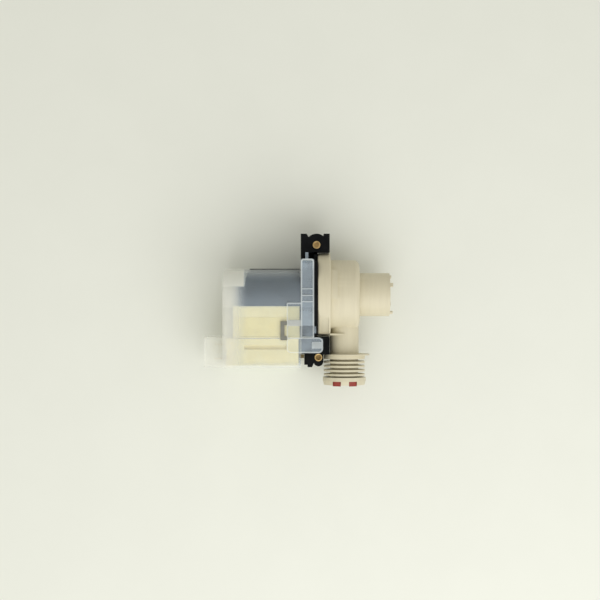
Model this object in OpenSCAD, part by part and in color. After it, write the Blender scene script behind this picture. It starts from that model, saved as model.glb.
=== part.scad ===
// Washer drain pump: a moulded volute on a permanent magnet motor with a lost-motion impeller drive.
// The pump axis is X, the inlet points along +X and its root is the origin. The outlet points along -Y.

/* [Inlet spigot] */
// Outer diameter of the inlet spigot
spigot_d = 40; // [34:0.5:44]
// Length of the inlet spigot
spigot_len = 28; // [20:1:40]
// Wall of the inlet spigot
spigot_wall = 2.5; // [2:0.1:4]
// Length of the end lugs past the spigot
end_lug_len = 2.6; // [1.5:0.1:4]
// Width of an end lug
end_lug_w = 3.6; // [2:0.1:5]

/* [Pump chamber] */
// Outer radius of the pump chamber
chamber_r = 32; // [30:0.5:35]
// Length of the pump chamber along the axis
chamber_len = 26.6; // [25:0.1:32]
// Wall of the pump chamber
chamber_wall = 2.6; // [2:0.1:3.5]
// Rounding of the chamber's front edge
chamber_fillet = 5; // [3:0.5:7]

/* [Clamp rim] */
// Outer radius of the clamp rim
rim_r = 38.4; // [37:0.2:40]
// Length of the clamp rim along the axis
rim_len = 12; // [10:0.5:16]
// Rounding of the rim's outer edges
rim_round = 1.6; // [0.8:0.2:2.4]
// Height of the clip lug above the chamber
clip_lug_h = 3.4; // [2:0.2:5]

/* [Outlet] */
// Outer diameter of the outlet neck
neck_d = 26.6; // [24:0.2:28]
// Reach of the outlet's end from the pump axis
outlet_reach = 83.4; // [80:0.2:95]
// Radius of the outlet's rings
ring_r = 19; // [17.5:0.1:19.5]
// Thickness of a ring
ring_t = 1.8; // [1:0.1:2.2]
// Distance from ring to ring
ring_pitch = 3.85; // [3.4:0.05:4.2]
// Number of rings
ring_count = 5; // [3:1:6]
// Radius of the end collar
collar_r = 19.9; // [19.6:0.1:21]
// Length of the end collar
collar_len = 7; // [6.4:0.2:9]
// Radius of the thin fin at the neck
fin_r = 21; // [20:0.1:22]
// Wall of the outlet neck
neck_wall = 3.2; // [2.8:0.1:3.6]
// Wall of the ringed part of the outlet
outlet_wall = 2; // [1.8:0.1:2.4]
// Thickness of the first ring, beside the fin
lead_ring_t = 3.4; // [2.4:0.1:3.6]

/* [Check valve] */
// Radius of the bore in the valve cartridge
cartridge_bore_r = 9.6; // [9.4:0.1:10]
// Wall of the valve cartridge
cartridge_wall = 1.3; // [1.1:0.1:1.5]
// Radius of the valve flap
flap_r = 8.2; // [7.6:0.1:8.4]
// Thickness of the valve flap
flap_t = 1.2; // [0.8:0.1:1.6]
// Radius of the flap's hinge pin
flap_pin_r = 0.8; // [0.6:0.05:1]

/* [Motor base] */
// Thickness of the base plate behind the rim
plate_t = 3.2; // [2.6:0.1:4]
// Depth of the base skirt behind the plate
skirt_len = 12.2; // [10:0.2:15]
// Wall of the base skirt
skirt_wall = 2.4; // [2:0.1:3]
// Inner radius of the rotor can
can_r = 14.6; // [14:0.1:15]
// Wall of the rotor can
can_wall = 1.6; // [1.2:0.1:2]
// Length of the rotor can behind the skirt
can_len = 51; // [49:0.5:56]
// Radius of the boss at the can's closed end
can_boss_r = 9; // [7:0.2:10]
// Length of the boss at the can's closed end
can_boss_len = 7; // [6.5:0.5:10]
// Height of the ears' top face above the axis
ear_top = 16; // [12:1:20]
// Thickness of the ears
ear_t = 28; // [24:1:32]
// Outer radius of a brass insert
insert_r = 3.5; // [3.2:0.1:3.8]
// Radius of the threaded hole in an insert
insert_hole_r = 2.5; // [2:0.1:2.8]
// Length of a brass insert
insert_len = 12; // [9:0.5:15]

/* [Rotor] */
// Radius of the shaft
shaft_r = 3; // [2.5:0.1:3.4]
// Outer radius of the magnet
magnet_r = 13; // [12:0.1:13.4]
// Length of the magnet
magnet_len = 36; // [30:0.5:38]
// Wall of the hub inside the magnet
hub_wall = 3; // [2.4:0.1:3.4]
// Free play of the drive to each side, in degrees
drive_play = 70; // [50:5:85]

/* [Impeller] */
// Outer radius of the impeller
impeller_r = 24; // [20:0.5:25]
// Number of impeller blades
blade_count = 7; // [5:1:9]
// Height of a blade along the axis
blade_h = 11; // [8:0.5:12]
// Thickness of a blade
blade_t = 1.6; // [1.2:0.1:2.2]
// Radius of the impeller's hub
impeller_hub_r = 6; // [5.4:0.2:8]

/* [Stator] */
// Length of the lamination stack along the axis
stack_len = 26; // [22:0.5:28]
// Width of an arm of the core
arm_w = 12; // [9:0.5:13]
// Distance of the arms' inner faces from the axis
arm_in = 14; // [13:0.5:15]
// Build of the winding on the sides of the arm
wind_side = 9.4; // [6:0.2:10]
// Wall of a bobbin
bobbin_wall = 1.4; // [1:0.1:1.8]
// Thickness of the tape wrapped over a winding
wrap_t = 0.5; // [0.3:0.1:0.8]

/* [Motor cover] */
// Wall of the motor cover
cover_wall = 1.8; // [1.4:0.1:2.4]
// Outer corner radius of the motor cover
cover_round = 3; // [2.5:0.1:5]
// Radius of the cover's full round edges beside the rotor
cover_crown = 22; // [16:0.5:24]
// Length of the cover from the collar to its end wall
cover_len = 70.5; // [70:0.5:80]
// Reach of the connector shroud past the end wall
shroud_reach = 18.5; // [14:0.5:22]
// Height of the connector shroud
shroud_h = 30; // [24:1:36]
// Distance from the axis to the cover's upper side
cover_up = 23; // [22.6:0.1:28]
// Distance from the axis to the cover's lower side
cover_down = 66.4; // [66:0.2:72]

/* [Fits] */
// Radial clearance of a running shaft
run_gap = 0.05; // [0.02:0.01:0.09]
// Clearance between pieces that don't move
seat_gap = 0.15; // [0.1:0.05:0.3]
// Clearance around pieces that turn
turn_gap = 0.4; // [0.3:0.05:0.6]

/* [Hidden] */
$fn = 96;
e = 0.01;

// Stations along the pump axis
chamber_back = -chamber_len;
rim_back = chamber_back - rim_len;
plate_back = rim_back - plate_t;
skirt_back = plate_back - skirt_len;
can_end = skirt_back - can_len;
boss_end = can_end - can_boss_len;
cover_end = skirt_back - cover_len;
shroud_end = cover_end - shroud_reach;

// Volute
spigot_r = spigot_d / 2;
end_lug_turn = 62;
end_lug_count = 4;
end_lug_inset = 0.5;
chamber_bore_r = chamber_r - chamber_wall;
rim_bore_r = chamber_r;
rim_web = 2.4;
rim_core_wall = 2.2;
rim_core_depth = rim_len - rim_web - 1;
join = 0.8;
slot_gap = 0.1;
clip_lug_w = 6;
clip_lug_from = -7;
clip_lug_to = 40;
gusset_t = 1.6;
gusset_len = 12.6;
gusset_proud = 0.9;
gusset_inset = 1;
rim_pocket_turn = 231;
rim_pocket_angle = 36;
rim_pocket_from = rim_back + 2.4;
rim_pocket_len = 7.6;
rim_pocket_depth = 1;

// Outlet, measured along its own axis from the pump axis
outlet_shift = 0.3;
outlet_x = -chamber_len / 2 - outlet_shift;
neck_r = neck_d / 2;
neck_bore_r = neck_r - neck_wall;
gusset_z = neck_r + gusset_proud;
cartridge_r = cartridge_bore_r + cartridge_wall;
outlet_bore_r = cartridge_r + seat_gap;
ringed_r = outlet_bore_r + outlet_wall;
collar_from = outlet_reach - collar_len;
ring_lead = 2.4;
ring_last = collar_from - ring_lead;
ring_first = ring_last - (ring_count - 1) * ring_pitch;
fin_t = 1.1;
fin_shift = 2.4;
fin_at = ring_first + ring_t / 2 - lead_ring_t - fin_t;
shoulder_at = fin_at + 2.6;
window_w = 7.4;
window_off = 7.4;
window_len = 3.5;
window_recess = 1.6;
window_proud = 0.8;
collar_lead = 0.3;
collar_taper = 0.9;

// Check valve, along the outlet
cartridge_from = shoulder_at + seat_gap;
cartridge_to = outlet_reach - seat_gap;
seat_t = 1.8;
seat_bore_r = 5.6;
seat_drop = 1.2;
flap_from = cartridge_from + seat_t + 0.2;
knuckle_r = flap_pin_r + 0.9;
knuckle_half = 3.5;
hinge_h = cartridge_bore_r - 2.6;
hinge_at = flap_from + knuckle_r + 0.05;
hinge_ear_w = 2.4;
hinge_ear_in = knuckle_half + turn_gap;
hinge_ear_h = hinge_at + flap_pin_r + 0.5 - cartridge_from;
hinge_ear_low = 0.7;
pin_half = hinge_ear_in + hinge_ear_w - 0.2;
flap_cut = hinge_h - knuckle_r - 0.5;
pin_fit = 0.03;

// Bearing carrier, seals and bushes
plug_r = rim_bore_r - seat_gap;
plug_front = chamber_back - rim_web - seat_gap;
groove_w = 3;
ring_seal_r = 1.15;
ring_rest = 0.02;
groove_floor_r = plug_r - 2 * ring_seal_r - 0.05;
groove_mid = (rim_back + plug_front) / 2;
carrier_nose = can_r - seat_gap;
carrier_nose_len = 5.2;
carrier_back = plate_back - carrier_nose_len;
bush_wall = 3;
bush_r = shaft_r + bush_wall;
bush_len = 10;
bush_end_gap = 0.2;
seal_w = 5.6;
seal_r = shaft_r + seal_w;
seal_len = 6;
seal_lip = 1.2;
seal_lip_t = 1.2;
seal_case_t = 1.4;
seal_end_room = 0.6;
washer_t = 0.8;

// Rotor and drive
washer_front = carrier_back - turn_gap;
driver_front = washer_front - washer_t - turn_gap;
driver_wall = 2.8;
driver_collar_r = shaft_r + driver_wall;
dog_len = 7;
driver_sink = 0.5;
dog_in = driver_collar_r + turn_gap;
dog_inset = 2;
dog_out = magnet_r - dog_inset;
arm_angle = 40;
bumper_angle = 10;
bumper_gap = 0.3;
bumper_len = dog_len - turn_gap - 0.4;
stop_margin = 1.5;
dog_angle = 360 - 2 * drive_play - arm_angle - 2 * bumper_angle - 2 * stop_margin;
hub_bore_r = shaft_r + run_gap;
hub_r = hub_bore_r + hub_wall;
hub_flange_t = 1.4;
can_floor = 1.6;
can_cap = 1.2;
rear_bush_len = can_boss_len - 1.4;
magnet_back = can_end + can_floor + washer_t + 2 * turn_gap;
magnet_front = magnet_back + magnet_len;
dog_back = magnet_front + hub_flange_t + turn_gap;
shaft_back = boss_end + 1.6;

// Impeller
disc_t = 1.6;
impeller_back = plug_front + turn_gap;
nose_len = 2.4;
impeller_hub_len = disc_t + blade_h + nose_len + 1;
shaft_front = impeller_back + impeller_hub_len - 3;
shaft_end_gap = 0.2;
blade_in = impeller_hub_r - 2;
blade_lean = 35;

// Turns a shape that stands along Z so that it stands along the pump axis
module along_x(from) {
  translate([from, 0, 0]) rotate([0, 90, 0]) children();
}

// Turns a shape that stands along Z so that it runs out through the outlet
module along_outlet(from = 0) {
  translate([outlet_x, -from, 0]) rotate([90, 0, 0]) children();
}

// A plain tube along Z
module tube(r_out, r_in, len) {
  difference() {
    cylinder(r = r_out, h = len);
    translate([0, 0, -1]) cylinder(r = r_in, h = len + 2);
  }
}

// A sector of a ring along Z, centred on its own X axis
module ring_sector(r_out, r_in, angle, len) {
  rotate([0, 0, -angle / 2]) rotate_extrude(angle = angle) translate([r_in, 0]) square([r_out - r_in, len]);
}

// A flat rectangle with round corners, placed by its low corner
module round_rect(size, r) {
  translate([r, 0]) square([size.x - 2 * r, size.y]);
  translate([0, r]) square([size.x, size.y - 2 * r]);
  for (x = [r, size.x - r], y = [r, size.y - r]) translate([x, y]) circle(r);
}

// A block between two corners
module block(low, high) {
  translate(low) cube(high - low);
}

// Cream volute: chamber with its front wall, clamp rim with clip lug and gusset, and the outlet's neck
module volute_body() {
  along_x(0) rotate_extrude() {
    translate([0, -chamber_len]) square([chamber_r, chamber_len - chamber_fillet]);
    translate([0, -chamber_fillet - e]) square([chamber_r - chamber_fillet, chamber_fillet + e]);
    translate([chamber_r - chamber_fillet, -chamber_fillet]) intersection() {
      circle(chamber_fillet);
      square(chamber_fillet);
    }
  }
  along_x(rim_back) rotate_extrude() {
    translate([0, rim_round]) square([rim_r, rim_len - 2 * rim_round]);
    square([rim_r - rim_round, rim_len]);
    for (y = [rim_round, rim_len - rim_round]) translate([rim_r - rim_round, y]) circle(rim_round);
  }
  along_x(chamber_back - join) rotate([0, 0, 180 - (clip_lug_from + clip_lug_to) / 2])
    ring_sector(chamber_r + clip_lug_h, chamber_r - 1, clip_lug_to - clip_lug_from, clip_lug_w + join);
  block(
    [chamber_back - join, -rim_r + gusset_inset, -gusset_z],
    [chamber_back + gusset_len, -rim_r + gusset_inset + gusset_t, gusset_z]
  );
  along_outlet() cylinder(r = neck_r, h = fin_at);
}

module volute_housing() {
  color("antiquewhite") difference() {
    volute_body();
    along_x(rim_back) cylinder(r = chamber_bore_r, h = chamber_len + rim_len - chamber_wall);
    along_x(-chamber_wall - 1) cylinder(r = spigot_r - spigot_wall, h = chamber_wall + 2);
    along_x(rim_back - 1) cylinder(r = rim_bore_r, h = rim_len - rim_web + 1);
    along_x(rim_back - 1) tube(rim_r - rim_core_wall, rim_bore_r + rim_core_wall, rim_core_depth + 1);
    along_x(rim_pocket_from) rotate([0, 0, rim_pocket_turn])
      ring_sector(rim_r + 1, rim_r - rim_pocket_depth, rim_pocket_angle, rim_pocket_len);
    along_outlet() cylinder(r = neck_bore_r, h = fin_at + 1);
  }
}

// Inlet tube on the chamber's front wall, with four lugs that stop the hose at its end
module spigot_tube() {
  color("antiquewhite") {
    along_x(0) tube(spigot_r, spigot_r - spigot_wall, spigot_len);
    for (i = [0 : end_lug_count - 1]) {
      rotate([end_lug_turn + i * 360 / end_lug_count, 0, 0]) block(
        [spigot_len - join, -end_lug_w / 2, spigot_r - spigot_wall + end_lug_inset],
        [spigot_len + end_lug_len, end_lug_w / 2, spigot_r - end_lug_inset]
      );
    }
  }
}

// The two windows of the outlet collar, on its top and on its underside
module collar_windows(gap, proud) {
  for (x = [-window_off, window_off], side = [0, 1]) mirror([0, side, 0]) {
    translate([x - window_w / 2 - gap, 0, outlet_reach - window_len - gap])
      cube([window_w + 2 * gap, collar_r + 1, window_len + gap + proud]);
  }
}

// Ringed end of the outlet: fin, rings and a collar with a tapered lip that leads the hose on
module outlet_pipe() {
  color("antiquewhite") along_outlet() difference() {
    union() {
      translate([0, 0, fin_at]) cylinder(r = ringed_r, h = outlet_reach - fin_at);
      translate([fin_shift, 0, fin_at]) cylinder(r = fin_r, h = fin_t);
      translate([0, 0, fin_at + fin_t - e]) cylinder(r = ring_r, h = lead_ring_t + e);
      for (i = [1 : ring_count - 1]) {
        translate([0, 0, ring_first + i * ring_pitch - ring_t / 2]) cylinder(r = ring_r, h = ring_t);
      }
      translate([0, 0, collar_from]) cylinder(r = collar_r, h = collar_len - window_len);
      translate([0, 0, outlet_reach - window_len - e])
        cylinder(r1 = collar_r - collar_lead, r2 = collar_r - collar_taper, h = window_len + e);
    }
    cylinder(r = neck_bore_r, h = shoulder_at + 1);
    translate([0, 0, shoulder_at]) cylinder(r = outlet_bore_r, h = outlet_reach);
    collar_windows(0, 1);
  }
}

// Red valve cartridge: sleeve with a seat ring, two hinge ears and snap tabs that fill the collar's windows
module valve_cartridge() {
  color("firebrick") along_outlet() difference() {
    union() {
      translate([0, 0, cartridge_from]) tube(cartridge_r, cartridge_bore_r, cartridge_to - cartridge_from);
      translate([0, 0, cartridge_from]) difference() {
        cylinder(r = cartridge_r, h = seat_t);
        translate([0, -seat_drop, -1]) cylinder(r = seat_bore_r, h = seat_t + 2);
      }
      intersection() {
        translate([0, 0, cartridge_from])
          tube(collar_r - window_recess, cartridge_bore_r, outlet_reach - cartridge_from + window_len);
        collar_windows(-seat_gap, window_proud);
      }
      intersection() {
        translate([0, 0, cartridge_from]) cylinder(r = cartridge_r - e, h = hinge_ear_h);
        for (side = [0, 1]) mirror([side, 0, 0]) {
          translate([hinge_ear_in, flap_cut + hinge_ear_low, cartridge_from])
            cube([hinge_ear_w, cartridge_r, hinge_ear_h]);
        }
      }
    }
    translate([-pin_half - 1, hinge_h, hinge_at]) rotate([0, 90, 0])
      cylinder(r = flap_pin_r + pin_fit, h = 2 * pin_half + 2);
  }
}

module valve_flap() {
  color("dimgray") along_outlet() difference() {
    union() {
      intersection() {
        translate([0, 0, flap_from]) cylinder(r = flap_r, h = flap_t);
        translate([-flap_r, -flap_r, flap_from - 1]) cube([2 * flap_r, flap_r + flap_cut, flap_t + 2]);
      }
      translate([-knuckle_half, flap_cut - 1, flap_from])
        cube([2 * knuckle_half, hinge_h - flap_cut + 1, flap_t]);
      translate([-knuckle_half, hinge_h, hinge_at]) rotate([0, 90, 0])
        cylinder(r = knuckle_r, h = 2 * knuckle_half);
    }
    translate([-knuckle_half - 1, hinge_h, hinge_at]) rotate([0, 90, 0])
      cylinder(r = flap_pin_r + run_gap, h = 2 * knuckle_half + 2);
  }
}

module flap_pin() {
  color("silver") along_outlet() translate([-pin_half, hinge_h, hinge_at]) rotate([0, 90, 0])
    cylinder(r = flap_pin_r, h = 2 * pin_half);
}

// Carrier that closes the rotor can and plugs the volute
module bearing_carrier() {
  color("darkslategray") difference() {
    union() {
      along_x(rim_back) cylinder(r = plug_r, h = plug_front - rim_back);
      along_x(carrier_back) cylinder(r = carrier_nose, h = rim_back - carrier_back + e);
    }
    along_x(groove_mid - groove_w / 2) tube(plug_r + 1, groove_floor_r, groove_w);
    along_x(carrier_back - 1) cylinder(r = shaft_r + 1, h = plug_front - carrier_back + 2);
    along_x(carrier_back - 1) cylinder(r = bush_r + seat_gap, h = bush_len + 1);
    along_x(plug_front - seal_len) cylinder(r = seal_r + seat_gap, h = seal_len + 1);
  }
}

module housing_seal() {
  color("#202020") along_x(groove_mid) rotate_extrude()
    translate([groove_floor_r + ring_seal_r + ring_rest, 0]) circle(ring_seal_r);
}

module shaft_seal() {
  color("#303030") along_x(plug_front - seal_len) difference() {
    cylinder(r = seal_r, h = seal_len - seal_end_room);
    translate([0, 0, -1]) cylinder(r = shaft_r + run_gap, h = seal_len + 2);
    translate([0, 0, seal_lip]) tube(seal_r - seal_case_t, shaft_r + seal_lip_t, seal_len);
  }
}

module bush(from, len) {
  color("peru") along_x(from) tube(bush_r, shaft_r + run_gap, len);
}

module front_bush() {
  bush(carrier_back + bush_end_gap, bush_len - 2 * bush_end_gap);
}

module rear_bush() {
  bush(can_end + can_floor - rear_bush_len, rear_bush_len - bush_end_gap);
}

module thrust_washers() {
  color("whitesmoke") for (x = [washer_front - washer_t, can_end + can_floor + turn_gap]) {
    along_x(x) tube(bush_r, shaft_r + run_gap, washer_t);
  }
}

module rotor_shaft() {
  color("silver") along_x(shaft_back) cylinder(r = shaft_r, h = shaft_front - shaft_back);
}

module rotor_hub() {
  color("gainsboro") {
    along_x(magnet_back) tube(hub_r, hub_bore_r, magnet_len + e);
    along_x(magnet_front) tube(dog_out, hub_bore_r, hub_flange_t);
    along_x(magnet_front + hub_flange_t - e) ring_sector(dog_out - turn_gap, dog_in, dog_angle, dog_len);
  }
}

module rotor_magnet() {
  color("#3a3a3c") along_x(magnet_back) tube(magnet_r, hub_r + seat_gap, magnet_len - 0.1);
}

// Drive dog on the shaft, opposite the hub's crescent when the drive is in the middle of its play
module shaft_driver() {
  color("ivory") {
    along_x(dog_back) tube(driver_collar_r, shaft_r + seat_gap, driver_front - dog_back);
    along_x(dog_back) rotate([0, 0, 180])
      ring_sector(dog_out, driver_collar_r - driver_sink, arm_angle, dog_len - turn_gap);
  }
}

module driver_bumper() {
  color("#252525") for (side = [-1, 1]) {
    along_x(dog_back) rotate([0, 0, 180 + side * (arm_angle + bumper_angle) / 2])
      ring_sector(dog_out - bumper_gap, driver_collar_r + bumper_gap, bumper_angle - 2 * bumper_gap, bumper_len);
  }
}

// Impeller: disc and hub with leaning blades whose outer corners are cut round
module impeller() {
  color("ghostwhite") along_x(impeller_back) difference() {
    union() {
      cylinder(r = impeller_r - 2, h = disc_t);
      rotate_extrude() polygon([
        [0, 0],
        [impeller_hub_r, 0],
        [impeller_hub_r, impeller_hub_len - nose_len],
        [impeller_hub_r - nose_len, impeller_hub_len],
        [0, impeller_hub_len]
      ]);
      intersection() {
        cylinder(r = impeller_r, h = disc_t + blade_h);
        for (i = [0 : blade_count - 1]) {
          rotate([0, 0, i * 360 / blade_count]) translate([blade_in, 0, 0]) rotate([0, 0, blade_lean])
            translate([0, -blade_t / 2, 0]) cube([2 * impeller_r, blade_t, disc_t + blade_h]);
        }
      }
    }
    translate([0, 0, -1]) cylinder(r = shaft_r + seat_gap, h = shaft_front - impeller_back + shaft_end_gap + 1);
  }
}

// Motor base
can_out_r = can_r + can_wall;
plate_r = rim_r - 0.4;
skirt_gap = 0.2;
collar_front = plate_back - skirt_gap;
collar_up = 32.2;
collar_down = 40;
collar_round = 6;
base_rib_t = 2.4;
base_rib_inset = 4;

// Ears: the upper one follows the rim, the lower one fills the room between rim and outlet
ear_room = 0.6;
ear_low = ear_top - ear_t;
ear_edge = chamber_back - outlet_shift - ear_room;
ear_from = rim_r + ear_room;
ear_strip_w = 3.3;
ear_step = 10;
ear_foot = ear_from + 1 - collar_up - skirt_gap;
insert_x = skirt_back + 14.5;
upper_insert = [insert_x, rim_r + 7.2];
upper_dome_r = 10.2;
upper_ear_to = upper_insert.y + upper_dome_r;
notch_depth = 2.8;
upper_ear_shoulder = upper_ear_to - notch_depth;
horn_w = 5.4;
dome_foot = 7.6;
lower_insert_shift = 1.7;
lower_insert_drop = 19.2;
lower_insert = [insert_x + lower_insert_shift, -rim_r - lower_insert_drop];
lower_neck_rise = 2.6;
lower_ear_top = max(-fin_at, lower_insert.y + lower_neck_rise);
lower_lobe_wall = 1.1;
lower_lobe_r = insert_r + lower_lobe_wall;
lower_lobe_drop = 3.6;
lower_lobe_y = lower_insert.y - lower_lobe_drop;
lower_heel_drop = 6.8;
lower_heel_y = lower_insert.y - lower_heel_drop;
lower_toe_drop = 9;
lower_toe_y = lower_insert.y - lower_toe_drop;
lower_ear_left = skirt_back + ear_strip_w;
lower_web_rise = 3.2;
lower_web_y = lower_insert.y + lower_web_rise;
lower_heel_w = 3;
lower_ear_heel = lower_ear_left + lower_heel_w;
lower_toe_w = 4.1;
lower_ear_toe = lower_ear_heel + lower_toe_w;

// Heights of the cover: it is as high as the rim, so that the pump lies flat
bead_h = 0.8;
pad_h = 0.6;
bead_top = rim_r;
deck = bead_top - bead_h;
cover_top = deck - pad_h;
cover_in_top = cover_top - cover_wall;
cover_low = -rim_r;

// Stator, whose coils fill the height of the cover
stack_shift = 11.3;
stack_mid = (can_end + skirt_back) / 2 - stack_shift;
stack_from = stack_mid - stack_len / 2;
arm_out = arm_in + arm_w;
arm_end_y = 15;
yoke_y = -46;
core_gap = 0.2;
pole_r = can_out_r + 0.5;
lug_from_y = -10.6;
shoulder_len = 9.8;
coil_len = 29;
flange_t = 1.4;
nose_low = 20;
nose_slot = [-28.2, -23.1];
coil_side = core_gap + bobbin_wall + wind_side + wrap_t;
coil_room = 0.9;
coil_top = cover_in_top - coil_room - arm_out;
wind_top = coil_top - core_gap - bobbin_wall - wrap_t;
nose_from = stack_from + stack_len + coil_side;
carrier_y = lug_from_y - coil_len - core_gap;
yoke_end_y = yoke_y - arm_w;
pole_body_to = skirt_back - 1;
pole_body_y = lug_from_y + 0.4;
pole_body_slant = 4.6;
pole_body_round = 3;

// Motor cover
side_window = 18;
side_proud = 0.8;
window_from = can_end + 4;
hook_x = [skirt_back + 4.1, skirt_back + 6.9];
hook_z = [8, 24];
hook_to = ear_from - ear_room;
bead_w = 1.3;
bead_in_round = 0.4;
bead_round = 2.6;
collar_rib_w = 0.9;
collar_rib_spots = [5.1, -0.9, -6.5];
nub_y = [-35, -28.6];
nub_reach = 1.8;
gate_ring_at = [can_end + 25.8, -1.5];
gate_ring_r = 3.5;
gate_ring_w = 0.8;
gate_pip_at = [cover_end + 17.8, -17.9];
gate_pip_r = 0.7;
gate_h = 0.3;
pad_len = 12.7;
pad_from = skirt_back - pad_len;
pad_up = -7.4;
tab_to = rim_back + 4.6;
tab_down = 52.8;
tab_t = 4;
tab_round = 4;
tab_lap = 8;
panel_h = 0.5;
panel_w = 8.7;
panel_y = [-48.7, -42.6];
clip_from = pad_from - 5.6;
clip_to = pad_from + 0.2;
clip_up = -24.1;
clip_down = -41.3;
clip_bar = 3.6;
shroud_up = -38.9;

// Terminal carrier and what it holds
carrier_from = cover_end + cover_wall + 1.5;
carrier_to = skirt_back - 2;
blade_w = 6.3;
blade_spade_t = 0.8;
blade_reach = 13;
blade_root = 8;
blade_spots = [-46.2, -59];
earth_tab_y = [lower_insert.y - 0.7, lower_insert.y + 2.7];
earth_tab_top = 12;
earth_tab_t = 0.8;
earth_root = 6;
cutout_size = [9, 9, 14];
cutout_at = [carrier_from, -60.5, 12];
groove_y = [-49.5, -46];
groove_depth = 2.5;

// Plan of the upper ear: two horns and shallow notches beside a dome round the insert
module upper_ear_plan() {
  polygon([
    [skirt_back, ear_from],
    [ear_edge, ear_from],
    [ear_edge, upper_ear_to],
    [ear_edge - horn_w, upper_ear_to],
    [upper_insert.x + dome_foot, upper_ear_shoulder],
    [upper_insert.x - dome_foot, upper_ear_shoulder],
    [skirt_back + horn_w, upper_ear_to],
    [skirt_back, upper_ear_to]
  ]);
  intersection() {
    translate(upper_insert) circle(upper_dome_r);
    translate([skirt_back, upper_insert.y]) square([ear_edge - skirt_back, upper_dome_r]);
  }
}

// Plan of the lower ear: a stepped heel, a notch and a round lobe below the insert
module lower_ear_plan() {
  top = lower_ear_top + 1;
  polygon([
    [lower_ear_left, top],
    [lower_ear_left, lower_heel_y],
    [lower_ear_heel, lower_heel_y],
    [lower_ear_heel, lower_toe_y],
    [lower_ear_toe, lower_toe_y],
    [lower_insert.x - lower_lobe_r + 1, lower_lobe_y],
    [lower_insert.x + lower_lobe_r, lower_lobe_y],
    [lower_insert.x + lower_lobe_r, top]
  ]);
  translate([lower_insert.x, lower_lobe_y]) circle(lower_lobe_r);
}

// Black base: plate, skirt, rotor can, ribs and the webs that carry the two ears
module motor_base() {
  color("#1c1c1e") difference() {
    union() {
      along_x(plate_back) cylinder(r = plate_r, h = plate_t);
      skirt_solid(skirt_gap + cover_wall, plate_back, rim_back);
      along_x(can_end) cylinder(r = can_out_r, h = plate_back - can_end + e);
      along_x(boss_end) cylinder(r = can_boss_r, h = can_boss_len + e);
      difference() {
        skirt_solid(skirt_gap + cover_wall, skirt_back, plate_back + e);
        skirt_solid(skirt_gap + cover_wall + skirt_wall, skirt_back - 1, plate_back);
      }
      block(
        [skirt_back, -base_rib_t / 2, -rim_r + base_rib_inset],
        [plate_back + e, base_rib_t / 2, rim_r - base_rib_inset]
      );
      block(
        [skirt_back, -collar_down + base_rib_inset, -base_rib_t / 2],
        [plate_back + e, collar_up - base_rib_inset, base_rib_t / 2]
      );
      block([plate_back, -ear_from, ear_low], [rim_back, ear_from, ear_top]);
    }
    along_x(can_end + can_floor) cylinder(r = can_r, h = rim_back - can_end);
    along_x(boss_end + can_cap) cylinder(r = bush_r + seat_gap, h = can_boss_len + can_floor);
  }
}

// The bore of an ear that its insert is pressed into
module insert_seat(spot) {
  translate([spot.x, spot.y, ear_top - insert_len - seat_gap])
    cylinder(r = insert_r + seat_gap, h = insert_len + 1);
}

module upper_ear() {
  color("#1c1c1e") difference() {
    union() {
      translate([0, 0, ear_low]) linear_extrude(ear_t) upper_ear_plan();
      translate([skirt_back, collar_up + skirt_gap, ear_low]) {
        cube([ear_strip_w, ear_foot, ear_t]);
        translate([1, 0, 0]) cube([skirt_len - 1, ear_foot, ear_t - ear_step]);
      }
    }
    insert_seat(upper_insert);
  }
}

module lower_ear() {
  color("#1c1c1e") difference() {
    union() {
      translate([0, 0, ear_low]) linear_extrude(ear_t) lower_ear_plan();
      block([plate_back, lower_ear_top, ear_low], [ear_edge, -ear_from, ear_top]);
      block(
        [skirt_back + ear_room, lower_web_y, ear_low],
        [plate_back + e, -collar_down - skirt_gap, ear_top]
      );
    }
    insert_seat(lower_insert);
  }
}

// Block with round edges along the axis, drawn in from the collar's outside by a given amount
module skirt_solid(inset, from, to) {
  translate([to, 0, 0]) rotate([0, -90, 0]) linear_extrude(to - from)
    translate([cover_low + inset, -collar_down + inset]) round_rect(
      [deck - cover_low - 2 * inset, collar_up + collar_down - 2 * inset],
      max(collar_round - inset, 1)
    );
}

module ear_inserts() {
  color("goldenrod") for (p = [upper_insert, lower_insert]) {
    translate([p.x, p.y, ear_top - insert_len]) difference() {
      cylinder(r = insert_r, h = insert_len);
      translate([0, 0, 2]) cylinder(r = insert_hole_r, h = insert_len);
    }
  }
}

// Black body round the pole ends, with a slanted end and pockets for the core's arms
module stator_shroud() {
  color("#26282c") difference() {
    union() {
      intersection() {
        cover_section(cover_wall + skirt_gap, cover_end, skirt_back);
        translate([0, 0, cover_low]) linear_extrude(cover_top - cover_low) polygon([
          [can_end - pole_body_slant / 2, pole_body_y],
          [pole_body_to, pole_body_y],
          [pole_body_to, cover_up],
          [can_end + pole_body_slant / 2 + pole_body_round, cover_up],
          [can_end + pole_body_slant / 2, cover_up - pole_body_round]
        ]);
      }
      block([window_from, 0, -side_window / 2], [pole_body_to, cover_up + side_proud, side_window / 2]);
    }
    along_x(can_end - pole_body_slant)
      cylinder(r = can_out_r + skirt_gap, h = can_len + 2 * pole_body_slant);
    for (side = [0, 1]) mirror([0, 0, side]) block(
      [stack_from - core_gap, pole_body_y - 1, arm_in - core_gap],
      [stack_from + stack_len + core_gap, arm_end_y + core_gap, arm_out + core_gap]
    );
  }
}

// Laminated U: two arms with hollow pole faces and a yoke
module stator_core() {
  color("#55585c") difference() {
    block([stack_from, yoke_end_y, -arm_out], [stack_from + stack_len, arm_end_y, arm_out]);
    block([stack_from - 1, yoke_y, -arm_in], [stack_from + stack_len + 1, arm_end_y + 1, arm_in]);
    along_x(stack_from - 1) cylinder(r = pole_r, h = stack_len + 2);
  }
}

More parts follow.
